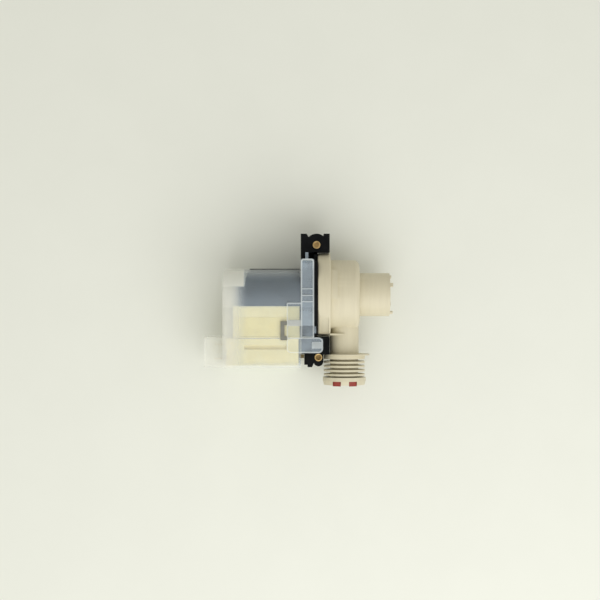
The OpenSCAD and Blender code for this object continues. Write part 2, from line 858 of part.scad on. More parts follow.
// Block round an arm of the core, grown by a side and a top amount
module arm_block(side, top, from, to) {
  block(
    [stack_from - side, from, arm_in - top],
    [stack_from + stack_len + side, to, arm_out + top]
  );
}

// Block between the coil's front and the base, from a given gap off the coil
module nose_block(gap, y, to) {
  block([nose_from + gap, y[0], nose_low], [to, y[1], arm_out + coil_top]);
}

// Bobbin: a tube on the core's arm with a thick shoulder, a flange and two noses that reach to the base
module coil_bobbin() {
  color("cornsilk") difference() {
    union() {
      arm_block(core_gap + bobbin_wall, core_gap + bobbin_wall, lug_from_y - coil_len, lug_from_y);
      arm_block(coil_side, coil_top, lug_from_y - shoulder_len, lug_from_y);
      arm_block(coil_side, coil_top, lug_from_y - coil_len, lug_from_y - coil_len + flange_t);
      for (y = [[lug_from_y - coil_len, nose_slot[0]], [nose_slot[1], lug_from_y]])
        nose_block(core_gap, y, skirt_back - 1);
      nose_block(-join, [lug_from_y - shoulder_len, lug_from_y], nose_from + join);
      nose_block(-join, [lug_from_y - coil_len, lug_from_y - coil_len + flange_t], nose_from + join);
    }
    arm_block(core_gap, core_gap, lug_from_y - coil_len - 1, lug_from_y + 1);
    along_x(stack_from - coil_side - 1) cylinder(r = pole_r, h = stack_len + 2 * coil_side + 2);
  }
}

// A sleeve round the bobbin between its flanges
module coil_sleeve(inner, thick_side, thick_top) {
  from = lug_from_y - coil_len + flange_t + slot_gap;
  to = lug_from_y - shoulder_len - slot_gap;
  difference() {
    arm_block(inner.x + thick_side, inner.y + thick_top, from, to);
    arm_block(inner.x, inner.y, from - 1, to + 1);
  }
}

wound_in = [core_gap + bobbin_wall + slot_gap / 2, core_gap + bobbin_wall + slot_gap / 2];
wrap_in = [coil_side - wrap_t, coil_top - wrap_t];

module winding() {
  color("chocolate") coil_sleeve(wound_in, wind_side - slot_gap, wind_top - slot_gap);
}

module coil_wrap() {
  color("lemonchiffon") coil_sleeve(wrap_in, wrap_t, wrap_t);
}

module coil_bobbin_upper() {
  coil_bobbin();
}

module coil_bobbin_lower() {
  mirror([0, 0, 1]) coil_bobbin();
}

module winding_upper() {
  winding();
}

module winding_lower() {
  mirror([0, 0, 1]) winding();
}

module coil_wrap_upper() {
  coil_wrap();
}

module coil_wrap_lower() {
  mirror([0, 0, 1]) coil_wrap();
}

// Cream moulding over the yoke, with slots for the blades and a pocket for the thermal cut-out
module terminal_carrier() {
  color("wheat") difference() {
    intersection() {
      cover_section(cover_wall + skirt_gap, carrier_from, carrier_to);
      block([carrier_from, -cover_down, cover_low], [carrier_to, carrier_y, cover_top]);
    }
    block(
      [stack_from - core_gap, yoke_end_y - core_gap, -arm_out - core_gap],
      [stack_from + stack_len + core_gap, carrier_y + 1, arm_out + core_gap]
    );
    for (y = blade_spots) blade(y, core_gap / 2);
    block(
      [carrier_to - earth_root, earth_tab_y[0] - slot_gap, earth_tab_top - earth_tab_t - slot_gap],
      [carrier_to + 1, earth_tab_y[1] + slot_gap, earth_tab_top + slot_gap]
    );
    block(
      [can_end, groove_y[0], cover_in_top - skirt_gap - groove_depth],
      [pad_from, groove_y[1], cover_in_top + 1]
    );
    translate(cutout_at - [1, 0, 0]) cube(cutout_size + [1, 0, 0]);
  }
}

module blade(y, gap) {
  block(
    [carrier_from - blade_reach, y - blade_spade_t / 2 - gap, -blade_w / 2 - gap],
    [carrier_from + blade_root, y + blade_spade_t / 2 + gap, blade_w / 2 + gap]
  );
}

module spade_terminals() {
  color("gold") for (y = blade_spots) blade(y, 0);
}

module earth_tab() {
  color("darkgoldenrod") block(
    [carrier_to - earth_root + 2 * slot_gap, earth_tab_y[0], earth_tab_top - earth_tab_t],
    [lower_ear_left - 0.3, earth_tab_y[1], earth_tab_top]
  );
}

module thermal_cutout() {
  color("#404040") translate(cutout_at + [seat_gap, seat_gap, seat_gap])
    cube(cutout_size - [2 * seat_gap, 2 * seat_gap, 2 * seat_gap]);
}

// Section of the cover across the axis: full round edges beside the rotor, small ones below the coils
module cover_section(inset, from, to) {
  low = cover_low + inset;
  high = cover_top - inset;
  up = cover_up - cover_crown;
  down = -cover_down + cover_round;
  crown = cover_crown - inset;
  foot = cover_round - inset;
  translate([to, 0, 0]) rotate([0, -90, 0]) linear_extrude(to - from) {
    translate([low, down]) square([high - low, up - down]);
    translate([low + crown, up - 1]) square([high - low - 2 * crown, crown + 1]);
    translate([low + foot, down - foot]) square([high - low - 2 * foot, foot + 1]);
    for (z = [low + crown, high - crown]) translate([z, up]) circle(crown);
    for (z = [low + foot, high - foot]) translate([z, down]) circle(foot);
  }
}

// Plan of the cover's main box
module cover_plan() {
  translate([cover_end, -cover_down])
    round_rect([cover_len + cover_round, cover_up + cover_down], cover_round);
}

// The slot that holds the latch clip: a C that opens towards the pump
module clip_plan(gap) {
  difference() {
    translate([clip_from - gap, clip_down - gap])
      square([clip_to - clip_from + gap, clip_up - clip_down + 2 * gap]);
    translate([clip_from + clip_bar + gap, clip_down + clip_bar + gap])
      square([clip_to - clip_from, clip_up - clip_down - 2 * clip_bar - 2 * gap]);
  }
}

// A raised bead along the edge of a rectangle on the cover's top
module bead_ring(low, high, r, depth) {
  size = high - low;
  translate([low.x, low.y, bead_top - depth]) linear_extrude(depth) difference() {
    round_rect(size, r);
    translate([bead_w, bead_w]) round_rect(size - [2 * bead_w, 2 * bead_w], max(r - bead_w, bead_in_round));
  }
}

// Milky cover: main box, collar round the base skirt, raised pad, latch tab and connector shroud
module motor_cover() {
  color("lightsteelblue", 0.6) difference() {
    union() {
      intersection() {
        translate([0, 0, cover_low]) linear_extrude(cover_top - cover_low) cover_plan();
        cover_section(0, cover_end, skirt_back + e);
      }
      skirt_solid(0, skirt_back, collar_front);
      block([pad_from, -collar_down, cover_top - 1], [skirt_back + 1, pad_up, deck]);
      bead_ring([skirt_back, -collar_down], [collar_front, collar_up], bead_round, collar_round + 1);
      bead_ring([pad_from, -collar_down], [skirt_back + bead_w, pad_up], bead_w, bead_h + join);
      bead_ring([pad_from, -tab_down], [tab_to, -collar_down + bead_w], tab_round, bead_h + join);
      for (y = collar_rib_spots) block(
        [skirt_back + 1, y - collar_rib_w / 2, deck - join],
        [collar_front - 1, y + collar_rib_w / 2, bead_top]
      );
      block([hook_x[0], collar_up - 1, hook_z[0]], [hook_x[1], hook_to, hook_z[1]]);
      block([collar_front - join, nub_y[0], deck - cover_wall], [collar_front + nub_reach, nub_y[1], deck]);
      translate([0, 0, bead_top - tab_t]) linear_extrude(tab_t - bead_h) difference() {
        translate([pad_from, -tab_down])
          round_rect([tab_to - pad_from, tab_down - collar_down + tab_lap], tab_round);
        translate([collar_front, -collar_down]) square([tab_to - plate_back + 1, tab_lap + 1]);
      }
      translate([gate_ring_at.x, gate_ring_at.y, cover_top - join])
        tube(gate_ring_r, gate_ring_r - gate_ring_w, join + gate_h);
      translate([gate_pip_at.x, gate_pip_at.y, cover_top - join]) cylinder(r = gate_pip_r, h = join + gate_h);
      block(
        [tab_to - bead_w - panel_w, panel_y[0], deck - join],
        [tab_to - bead_w / 2, panel_y[1], deck + panel_h]
      );
      block(
        [shroud_end, -cover_down, -shroud_h / 2],
        [cover_end + cover_round + 1, shroud_up, shroud_h / 2]
      );
    }
    cover_section(cover_wall, cover_end + cover_wall, skirt_back + 2 * e);
    skirt_solid(cover_wall, skirt_back, plate_back);
    block(
      [shroud_end - 1, -cover_down + cover_wall, -shroud_h / 2 + cover_wall],
      [cover_end + cover_wall + 1, shroud_up - cover_wall, shroud_h / 2 - cover_wall]
    );
    block(
      [window_from - seat_gap, cover_up - cover_wall - 1, -side_window / 2 - seat_gap],
      [skirt_back - e, cover_up + 1, side_window / 2 + seat_gap]
    );
    translate([0, 0, cover_in_top - 1]) linear_extrude(bead_top - cover_in_top + 2) clip_plan(seat_gap);
  }
}

module latch_clip() {
  color("slategray") translate([0, 0, cover_in_top]) linear_extrude(cover_top - cover_in_top) clip_plan(0);
}

volute_housing();
spigot_tube();
outlet_pipe();
housing_seal();
bearing_carrier();
shaft_seal();
front_bush();
rear_bush();
thrust_washers();
rotor_shaft();
rotor_hub();
rotor_magnet();
shaft_driver();
driver_bumper();
impeller();
valve_cartridge();
valve_flap();
flap_pin();
motor_base();
upper_ear();
lower_ear();
ear_inserts();
stator_shroud();
stator_core();
coil_bobbin_upper();
coil_bobbin_lower();
winding_upper();
winding_lower();
coil_wrap_upper();
coil_wrap_lower();
terminal_carrier();
spade_terminals();
earth_tab();
thermal_cutout();
motor_cover();
latch_clip();
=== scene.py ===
import bmesh
import bpy
import math
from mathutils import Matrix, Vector


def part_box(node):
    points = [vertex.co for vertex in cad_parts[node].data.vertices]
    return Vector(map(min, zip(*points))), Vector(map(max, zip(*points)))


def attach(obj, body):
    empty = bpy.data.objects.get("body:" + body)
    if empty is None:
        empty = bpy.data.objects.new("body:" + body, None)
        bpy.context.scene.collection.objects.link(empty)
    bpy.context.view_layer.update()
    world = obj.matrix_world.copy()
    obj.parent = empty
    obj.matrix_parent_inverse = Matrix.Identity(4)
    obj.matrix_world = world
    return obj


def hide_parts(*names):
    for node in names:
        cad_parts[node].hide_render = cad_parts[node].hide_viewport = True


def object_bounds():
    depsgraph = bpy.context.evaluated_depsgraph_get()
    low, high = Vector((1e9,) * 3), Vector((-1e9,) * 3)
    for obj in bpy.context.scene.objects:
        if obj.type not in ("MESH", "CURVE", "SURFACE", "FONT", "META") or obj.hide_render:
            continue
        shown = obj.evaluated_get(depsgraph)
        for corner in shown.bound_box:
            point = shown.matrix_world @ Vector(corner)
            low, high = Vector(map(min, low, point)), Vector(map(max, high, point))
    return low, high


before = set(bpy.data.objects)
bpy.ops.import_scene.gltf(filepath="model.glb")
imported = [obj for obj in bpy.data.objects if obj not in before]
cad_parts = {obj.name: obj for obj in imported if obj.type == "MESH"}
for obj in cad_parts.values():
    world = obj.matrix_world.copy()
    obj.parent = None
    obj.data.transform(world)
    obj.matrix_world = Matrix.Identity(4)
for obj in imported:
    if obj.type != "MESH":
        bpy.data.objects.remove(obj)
cad_low, cad_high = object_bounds()

# Volute. One cream polypropylene moulding: pump chamber, inlet spigot, clamp rim and ringed outlet.
# Its three solids are welded, so no seam shows. It has a satin skin, faint flow marks and soft edges.
MM = 0.001
MERGE_WITHIN = 0.002 * MM
FLAT_WITHIN = math.radians(0.4)
WELD_SINK = 0.02 * MM
SHARP_FROM = math.radians(32)
EDGE_STEPS = 2
GLOSS_SPREAD = 0.12
FLOW = (0.3, 0.75)
CREAM, CREAM_SHADE = (0.652, 0.602, 0.444, 1), (0.622, 0.572, 0.42, 1)
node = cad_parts


class Signal:
    """One socket of a shader tree. Operators add Math nodes, node() adds any other node."""

    def __init__(self, tree, socket):
        self.tree = tree
        self.socket = socket

    def node(self, kind, settings=None, sockets=None, out=0):
        made = self.tree.nodes.new(kind)
        for key, value in (settings or {}).items():
            setattr(made, key, value)
        for key, value in (sockets or {}).items():
            if isinstance(value, Signal):
                self.tree.links.new(value.socket, made.inputs[key])
            else:
                made.inputs[key].default_value = value
        return Signal(self.tree, made.outputs[out])

    def maths(self, operation, a, b):
        return self.node("ShaderNodeMath", {"operation": operation}, {0: a, 1: b})

    def __add__(self, other):
        return self.maths("ADD", self, other)

    def __radd__(self, other):
        return self.maths("ADD", other, self)

    def __sub__(self, other):
        return self.maths("SUBTRACT", self, other)

    def __rsub__(self, other):
        return self.maths("SUBTRACT", other, self)

    def __mul__(self, other):
        return self.maths("MULTIPLY", self, other)

    def __rmul__(self, other):
        return self.maths("MULTIPLY", other, self)

    def noise(self, size_mm, detail, rough=0.55, stretch=(1, 1, 1)):
        place = self.node("ShaderNodeMapping", None, {"Vector": self, "Scale": stretch})
        return self.node("ShaderNodeTexNoise", {"noise_dimensions": "3D"},
                         {"Vector": place, "Scale": 1 / (size_mm * MM), "Detail": detail, "Roughness": rough})

    def band(self, low, high):
        return self.node("ShaderNodeMapRange", {"interpolation_type": "SMOOTHSTEP"},
                         {"Value": self, "From Min": low, "From Max": high})

    def within(self, low, high, edge):
        return self.band(low, low + edge) * self.band(high, high - edge)

    def axis(self, name):
        return self.node("ShaderNodeSeparateXYZ", None, {"Vector": self}, name)

    def blend(self, first, second):
        return self.node("ShaderNodeMix", {"data_type": "RGBA"}, {0: self, 6: first, 7: second}, 2)


def new_finish(name):
    """A new material with its shader and its place on the piece."""
    material = bpy.data.materials.new(name)
    material.use_nodes = True
    tree = material.node_tree
    place = Signal(tree, None).node("ShaderNodeTexCoord", out="Object")
    return material, tree.nodes["Principled BSDF"], place


def feed(shader, **values):
    for key, value in values.items():
        socket = shader.inputs[key.replace("_", " ")]
        if isinstance(value, Signal):
            value.tree.links.new(value.socket, socket)
        else:
            socket.default_value = value


def grain(place, height, strength, depth_mm):
    return place.node("ShaderNodeBump", None,
                      {"Height": height, "Strength": strength, "Distance": depth_mm * MM})


def skin(shader, place, colour, rough, grain_mm, depth_mm=0.03):
    """A moulded skin: the given colour, uneven gloss and a fine grain."""
    fine = place.noise(grain_mm, detail=2)
    feed(shader, Base_Color=colour, Roughness=rough - GLOSS_SPREAD / 2 + GLOSS_SPREAD * fine,
         Normal=grain(place, fine, strength=0.2, depth_mm=depth_mm))


def closed_copy(name):
    """A copy of a solid as a closed mesh of flat faces."""
    mesh = node[name].data.copy()
    work = bmesh.new()
    work.from_mesh(mesh)
    bmesh.ops.remove_doubles(work, verts=work.verts, dist=MERGE_WITHIN)
    bmesh.ops.dissolve_limit(work, angle_limit=FLAT_WITHIN, verts=work.verts, edges=work.edges)
    work.to_mesh(mesh)
    work.free()
    copy = bpy.data.objects.new(name + "_moulded", mesh)
    bpy.context.scene.collection.objects.link(copy)
    return copy


def plain_mesh(piece):
    """The piece with its modifiers worked in, as a plain mesh."""
    mesh = bpy.data.meshes.new_from_object(piece.evaluated_get(bpy.context.evaluated_depsgraph_get()))
    piece.modifiers.clear()
    piece.data = mesh


def soften(name, bevel_mm, **welded):
    """A copy of a solid with rounded edges, welded to the solids that press on it from the given sides."""
    piece = closed_copy(name)
    others = []
    for other, side in welded.items():
        part = closed_copy(other)
        part.location = WELD_SINK * Vector(side)
        joint = piece.modifiers.new("weld", "BOOLEAN")
        joint.operation = "UNION"
        joint.solver = "EXACT"
        joint.object = part
        others.append(part)
    if others:
        plain_mesh(piece)
        for part in others:
            bpy.data.objects.remove(part)
    for face in piece.data.polygons:
        face.use_smooth = True
    edge = piece.modifiers.new("soft_edges", "BEVEL")
    edge.width = bevel_mm * MM
    edge.segments = EDGE_STEPS
    edge.limit_method = "ANGLE"
    edge.angle_limit = SHARP_FROM
    edge.harden_normals = True
    edge.use_clamp_overlap = True
    piece.data.set_sharp_from_angle(angle=SHARP_FROM)
    return piece


def settle(piece, material, body, slot_name, *stands_for):
    piece.data.materials.clear()
    piece.data.materials.append(material)
    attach(piece, body)
    if stands_for:
        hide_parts(*stands_for)


volute_cream, volute_shader, volute_place = new_finish("volute_cream")
volute_flow = volute_place.noise(size_mm=3, detail=3, rough=0.5, stretch=(1, 0.12, 0.12)).band(*FLOW)
skin(volute_shader, volute_place, volute_flow.blend(CREAM, CREAM_SHADE), rough=0.46, grain_mm=0.6)
settle(soften("volute_housing", bevel_mm=0.5, spigot_tube=(-1, 0, 0), outlet_pipe=(0, 1, 0)), volute_cream, "pump",
       "volute_cream", "volute_housing", "spigot_tube", "outlet_pipe")

# Check valve. A red plastic cartridge snaps into the outlet with its tabs in the collar's windows.
# Inside it a rubber flap hangs on a steel pin and closes against the seat ring.
CLOUD = (0.35, 0.68)
HAZE = (0.3, 0.7)
RING_STRETCH = 0.02
RING_GLOSS = 0.14
DULLED = 0.8


def moulding(name, colour, shade, rough, grain_mm, cloud_mm, depth_mm=0.03):
    """A moulded plastic or rubber with clouded colour."""
    material, shader, place = new_finish(name)
    cloud = place.noise(cloud_mm, detail=4).band(*CLOUD)
    skin(shader, place, cloud.blend((*colour, 1), (*shade, 1)), rough, grain_mm, depth_mm)
    return material


def turned(name, colour, rough, line_mm, around):
    """A turned or ground metal: fine rings round one axis, with uneven gloss."""
    material, shader, place = new_finish(name)
    stretch = tuple(1.0 if axis == around else RING_STRETCH for axis in "XYZ")
    rings = place.noise(line_mm, detail=2, rough=0.6, stretch=stretch)
    cloud = place.noise(size_mm=5, detail=3).band(*HAZE)
    dull = tuple(DULLED * channel for channel in colour)
    feed(shader, Base_Color=cloud.blend((*colour, 1), (*dull, 1)), Metallic=1.0,
         Roughness=rough + RING_GLOSS * rings, Normal=grain(place, rings, strength=0.15, depth_mm=0.01))
    return material


def paint(finishes):
    """Give solids that keep their own shape a finish."""
    for name, finish in finishes.items():
        node[name].data.materials.clear()
        node[name].data.materials.append(finish)


valve_red = moulding("valve_red", colour=(0.31, 0.045, 0.032), shade=(0.25, 0.035, 0.028), rough=0.4, grain_mm=0.8,
                     cloud_mm=9)
settle(soften("valve_cartridge", bevel_mm=0.15), valve_red, "pump", "valve_red", "valve_cartridge")
flap_rubber = moulding("flap_rubber", colour=(0.035, 0.034, 0.033), shade=(0.05, 0.048, 0.046), rough=0.62,
                       grain_mm=0.4, cloud_mm=4)
settle(soften("valve_flap", bevel_mm=0.15), flap_rubber, "flap", "seal_rubber", "valve_flap")
shaft_steel = turned("shaft_steel", colour=(0.62, 0.62, 0.62), rough=0.2, line_mm=0.15, around="X")
paint({"flap_pin": shaft_steel})

# Bearing carrier with its seals and bushes. A black moulded disc plugs the volute, and a rubber ring seals
# its edge. The shaft passes a lip seal and turns in two sintered bronze bushes, each with a thrust washer.
base_black = moulding("base_black", colour=(0.004, 0.0045, 0.005), shade=(0.008, 0.0085, 0.009), rough=0.5,
                      grain_mm=0.35, cloud_mm=10, depth_mm=0.05)
feed(base_black.node_tree.nodes["Principled BSDF"], Specular_IOR_Level=0.06)
settle(soften("bearing_carrier", bevel_mm=0.25), base_black, "pump", "base_black", "bearing_carrier")
seal_rubber = moulding("seal_rubber", colour=(0.02, 0.02, 0.02), shade=(0.03, 0.03, 0.03), rough=0.6, grain_mm=0.3,
                       cloud_mm=5)
bush_bronze = turned("bush_bronze", colour=(0.5, 0.33, 0.16), rough=0.38, line_mm=0.3, around="X")
washer_white = moulding("washer_white", colour=(0.72, 0.71, 0.67), shade=(0.66, 0.65, 0.6), rough=0.4, grain_mm=0.5,
                        cloud_mm=6)
paint({"housing_seal": seal_rubber, "shaft_seal": seal_rubber, "front_bush": bush_bronze, "rear_bush": bush_bronze,
       "thrust_washers": washer_white})

# Rotor. A ferrite magnet ring on a plastic hub turns on a ground steel shaft.
# The hub's crescent pushes the shaft's rubber-faced dog after part of a turn.
magnet_ferrite = moulding("magnet_ferrite", colour=(0.05, 0.05, 0.055), shade=(0.075, 0.075, 0.08), rough=0.5,
                          grain_mm=0.25, cloud_mm=6)
paint({"rotor_magnet": magnet_ferrite, "rotor_hub": washer_white, "rotor_shaft": shaft_steel,
       "shaft_driver": washer_white, "driver_bumper": seal_rubber})

# Impeller. A white plastic moulding with leaning blades, pressed on the shaft and seen through the inlet.
# Its wet faces are a little dull.
impeller_white = moulding("impeller_white", colour=(0.7, 0.69, 0.63), shade=(0.62, 0.61, 0.55), rough=0.4,
                          grain_mm=0.5, cloud_mm=8)
settle(soften("impeller", bevel_mm=0.2), impeller_white, "impeller_shaft", "impeller_white", "impeller")

# Motor base. Black glass-filled nylon in one shot: plate, skirt, rotor can and two ears.
# Each ear holds a brass insert, and turns of thread run down its bore.
INSERT_R = 3.5 * MM
UPPER_INSERT_X, LOWER_INSERT_X = -39.5 * MM, -37.8 * MM
THREAD_TURNS = 9
THREAD_PITCH = 1.0 * MM
THREAD_R = 2.5 * MM
THREAD_RIDGE = 0.22 * MM
THREAD_DEPTH = 9.6 * MM
BORE_SIDES, RIDGE_SIDES = 40, 6
settle(soften("motor_base", bevel_mm=0.4, upper_ear=(0, -1, 0), lower_ear=(0, 1, 0)), base_black, "pump",
       "base_black", "motor_base", "upper_ear", "lower_ear")
insert_brass = turned("insert_brass", colour=(0.72, 0.51, 0.23), rough=0.3, line_mm=0.2, around="Z")
settle(soften("ear_inserts", bevel_mm=0.3), insert_brass, "pump", "insert_brass", "ear_inserts")


def loose_mesh(name, points, faces=()):
    mesh = bpy.data.meshes.new(name)
    mesh.from_pydata(points, [], list(faces))
    piece = bpy.data.objects.new(name, mesh)
    bpy.context.scene.collection.objects.link(piece)
    return piece


def wire(tree, output, to, socket):
    tree.links.new(output, to.inputs[socket])


def repeat_tree(name, inputs):
    """A node tree that takes a shape, with named inputs, and a place to end in."""
    tree = bpy.data.node_groups.new(name, "GeometryNodeTree")
    tree.interface.new_socket("Geometry", in_out="INPUT", socket_type="NodeSocketGeometry")
    for label, kind in inputs.items():
        tree.interface.new_socket(label, in_out="INPUT", socket_type="NodeSocket" + kind)
    tree.interface.new_socket("Geometry", in_out="OUTPUT", socket_type="NodeSocketGeometry")
    return tree, tree.nodes.new("NodeGroupInput").outputs, tree.nodes.new("NodeGroupOutput")


def row_of_copies(tree, shape, count, step, axis):
    """Copies of a shape in a straight row along one axis."""
    places = tree.nodes.new("GeometryNodeMeshLine")
    offset = tree.nodes.new("ShaderNodeCombineXYZ")
    copies = tree.nodes.new("GeometryNodeInstanceOnPoints")
    wire(tree, count, places, "Count")
    wire(tree, step, offset, axis)
    wire(tree, offset.outputs[0], places, "Offset")
    wire(tree, places.outputs[0], copies, "Points")
    wire(tree, shape, copies, "Instance")
    return copies.outputs[0]


def end_in_mesh(tree, shape, finish, ending):
    real = tree.nodes.new("GeometryNodeRealizeInstances")
    coat = tree.nodes.new("GeometryNodeSetMaterial")
    wire(tree, shape, real, "Geometry")
    wire(tree, real.outputs[0], coat, "Geometry")
    wire(tree, finish, coat, "Material")
    wire(tree, coat.outputs[0], ending, "Geometry")


def run_tree(piece, tree, **values):
    maker = piece.modifiers.new("repeat", "NODES")
    maker.node_group = tree
    for item in tree.interface.items_tree:
        if item.in_out == "INPUT" and item.name in values:
            maker[item.identifier] = values[item.name]
    plain_mesh(piece)


thread_tree, thread_in, thread_end = repeat_tree(
    "thread_turns", {"Turns": "Int", "Pitch": "Float", "Radius": "Float", "Ridge": "Float", "Finish": "Material"})
bore_ring = thread_tree.nodes.new("GeometryNodeCurvePrimitiveCircle")
ridge_ring = thread_tree.nodes.new("GeometryNodeCurvePrimitiveCircle")
bore_ring.inputs["Resolution"].default_value = BORE_SIDES
ridge_ring.inputs["Resolution"].default_value = RIDGE_SIDES
one_turn = thread_tree.nodes.new("GeometryNodeCurveToMesh")
bore_copies = thread_tree.nodes.new("GeometryNodeInstanceOnPoints")
wire(thread_tree, thread_in["Radius"], bore_ring, "Radius")
wire(thread_tree, thread_in["Ridge"], ridge_ring, "Radius")
wire(thread_tree, bore_ring.outputs[0], one_turn, "Curve")
wire(thread_tree, ridge_ring.outputs[0], one_turn, "Profile Curve")
one_bore = row_of_copies(thread_tree, one_turn.outputs[0], thread_in["Turns"], thread_in["Pitch"], "Z")
wire(thread_tree, thread_in["Geometry"], bore_copies, "Points")
wire(thread_tree, one_bore, bore_copies, "Instance")
end_in_mesh(thread_tree, bore_copies.outputs[0], thread_in["Finish"], thread_end)
insert_low, insert_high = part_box("ear_inserts")
thread_foot = insert_high.z - THREAD_DEPTH
threads = loose_mesh("insert_threads", [(UPPER_INSERT_X, insert_high.y - INSERT_R, thread_foot),
                                        (LOWER_INSERT_X, insert_low.y + INSERT_R, thread_foot)])
run_tree(threads, thread_tree, Turns=THREAD_TURNS, Pitch=THREAD_PITCH, Radius=THREAD_R, Ridge=THREAD_RIDGE,
         Finish=insert_brass)
settle(threads, insert_brass, "pump", "insert_brass")

# Stator core. A U of stamped electrical-steel sheets, stacked along the pump's axis.
# Two arms hold the coils and end in hollow poles round the rotor can.
SHEET_T = 0.58 * MM
SHEET_PITCH = 0.65 * MM
SHEET_COUNT = 40
ARM_IN, ARM_OUT = 14 * MM, 26 * MM
ARM_END, YOKE_IN, YOKE_OUT = 15 * MM, -46 * MM, -58 * MM
POLE_R = 16.7 * MM
POLE_STEPS = 16
core_steel = turned("core_steel", colour=(0.3, 0.31, 0.33), rough=0.4, line_mm=0.5, around="X")
core_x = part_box("stator_core")[0].x
pole_from = math.asin(ARM_IN / POLE_R)
pole_turns = [pole_from + (math.pi - 2 * pole_from) * step / POLE_STEPS for step in range(POLE_STEPS + 1)]
pole_arc = [(POLE_R * math.cos(turn), POLE_R * math.sin(turn)) for turn in pole_turns]
upper_side = [(ARM_END, ARM_OUT), (ARM_END, ARM_IN), *pole_arc, (YOKE_IN, ARM_IN)]
lower_side = [(y, -z) for y, z in reversed(upper_side)]
outline = [*upper_side, *lower_side, (YOKE_OUT, -ARM_OUT), (YOKE_OUT, ARM_OUT)]
count = len(outline)
sheet_points = [(core_x + x, y, z) for x in (0, SHEET_T) for y, z in outline]
sheet_faces = [tuple(range(count)), tuple(reversed(range(count, 2 * count)))]
sheet_faces += [(i, i + count, (i + 1) % count + count, (i + 1) % count) for i in range(count)]
sheets = loose_mesh("core_sheets", sheet_points, sheet_faces)
sheet_tree, sheet_in, sheet_end = repeat_tree(
    "sheet_stack", {"Sheets": "Int", "Pitch": "Float", "Finish": "Material"})
sheet_row = row_of_copies(sheet_tree, sheet_in["Geometry"], sheet_in["Sheets"], sheet_in["Pitch"], "X")
end_in_mesh(sheet_tree, sheet_row, sheet_in["Finish"], sheet_end)
run_tree(sheets, sheet_tree, Sheets=SHEET_COUNT, Pitch=SHEET_PITCH, Finish=core_steel)
settle(sheets, core_steel, "pump", "core_steel", "stator_core")

# Coils. Copper windings under cream tape on cream bobbins, pushed over the core's arms.
# A black body holds the pole ends. The bobbins' noses, deeper under the cover's pad, have painted shade.
NOSE_X, NOSE_Y = -67 * MM, -38.5 * MM
NOSE_FADE = 1 * MM
COIL_CREAM, COIL_SHADE, NOSE_PAINTED_SHADE = (0.93, 0.84, 0.50, 1), (0.90, 0.80, 0.45, 1), (0.73, 0.66, 0.34, 1)
settle(soften("stator_shroud", bevel_mm=0.8), base_black, "pump", "base_black", "stator_shroud")
coil_cream, coil_shader, coil_place = new_finish("coil_cream")
coil_cloud = coil_place.noise(size_mm=12, detail=4).band(*CLOUD)
# Painted shade: the bobbins' noses get a darker cream where they stand under the cover's pad.
nose_shade_part = (coil_place.axis("X").band(NOSE_X, NOSE_X + NOSE_FADE)
             * coil_place.axis("Y").band(NOSE_Y - NOSE_FADE, NOSE_Y))
coil_colour = nose_shade_part.blend(coil_cloud.blend(COIL_CREAM, COIL_SHADE), NOSE_PAINTED_SHADE)
skin(coil_shader, coil_place, coil_colour, rough=0.45, grain_mm=0.7)
coil_tape = moulding("coil_tape", colour=(0.91, 0.80, 0.40), shade=(0.88, 0.76, 0.36), rough=0.4, grain_mm=0.9,
                     cloud_mm=8)
copper_wire = turned("copper_wire", colour=(0.6, 0.26, 0.1), rough=0.3, line_mm=0.3, around="Y")
paint({"winding_upper": copper_wire, "winding_lower": copper_wire, "coil_wrap_upper": coil_tape,
       "coil_wrap_lower": coil_tape})
for bobbin in ("coil_bobbin_upper", "coil_bobbin_lower"):
    settle(soften(bobbin, bevel_mm=0.3), coil_cream, "pump", "coil_cream", bobbin)

# Terminal carrier. A cream plastic moulding over the yoke, with a black thermal cut-out in its pocket.
# It holds two brass blades for the connector and a dull brass earth tab, all pressed into slots.
settle(soften("terminal_carrier", bevel_mm=0.3), coil_cream, "pump", "coil_cream", "terminal_carrier")
paint({"thermal_cutout": base_black})
settle(soften("spade_terminals", bevel_mm=0.12), insert_brass, "pump", "insert_brass", "spade_terminals")
tab_brass = turned("tab_brass", colour=(0.22, 0.175, 0.09), rough=0.36, line_mm=0.2, around="Y")
settle(soften("earth_tab", bevel_mm=0.12), tab_brass, "pump", "insert_brass", "earth_tab")

# Motor cover. A milky, see-through polypropylene shell that snaps over the motor, with a thicker collar.
# Its wall scatters light, so what lies behind shows pale and blue-grey. It is milkier at its beads, its foot and
# the connector end. Painted light adds white there and at the shoulder, a step and the bar and line on its pad.
COLLAR_X, COLLAR_UP = -54.0 * MM, 32.2 * MM
BEAD_H, PAD_H = 0.8 * MM, 0.6 * MM
EDGE, FADE = 0.3 * MM, 1 * MM
END_FROM, END_TO = -101 * MM, -119 * MM
FOOT_FROM, FOOT_TO = -60.5 * MM, -65 * MM
SHOULDER_FROM, SHOULDER_TO = 12 * MM, 24 * MM
STEP_FROM, STEP_TO, STEP_Y = -103.5 * MM, -106.5 * MM, 6 * MM
FRONT_Z = 30 * MM
BAR_X, BAR_LOW, BAR_HIGH = -67 * MM, -29 * MM, -22.6 * MM
LINE_LOW, LINE_HIGH = -40.4 * MM, -38.8 * MM
TONE_FROM, TONE_TO = 4 * MM, -9 * MM
TONE_END, TONE_START = -13 * MM, -10.5 * MM
RISE_LOW, RISE_FULL, RISE_HIGH = -28.6 * MM, -19 * MM, -12 * MM
TOP_FROM, TOP_TO = 20 * MM, 30 * MM
DIP_LOW, DIP_HIGH = -38 * MM, -27.6 * MM
WALL_ALPHA, MILK_AND_LIGHT_ALPHA, RISE_ALPHA, DIP_ALPHA = 0.12, 0.31, 0.1, 0.06
COVER_ROUGH, COVER_GLOSS = 0.4, 0.1
COVER_BLUE, COVER_SHADE, MILK_AND_LIGHT_WHITE = (0.70, 0.81, 0.91, 1), (0.65, 0.77, 0.88, 1), (0.92, 0.93, 0.86, 1)
bead_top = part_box("motor_cover")[1].z
deck = bead_top - BEAD_H
cover_milky, cover_shader, cover_place = new_finish("cover_milky")
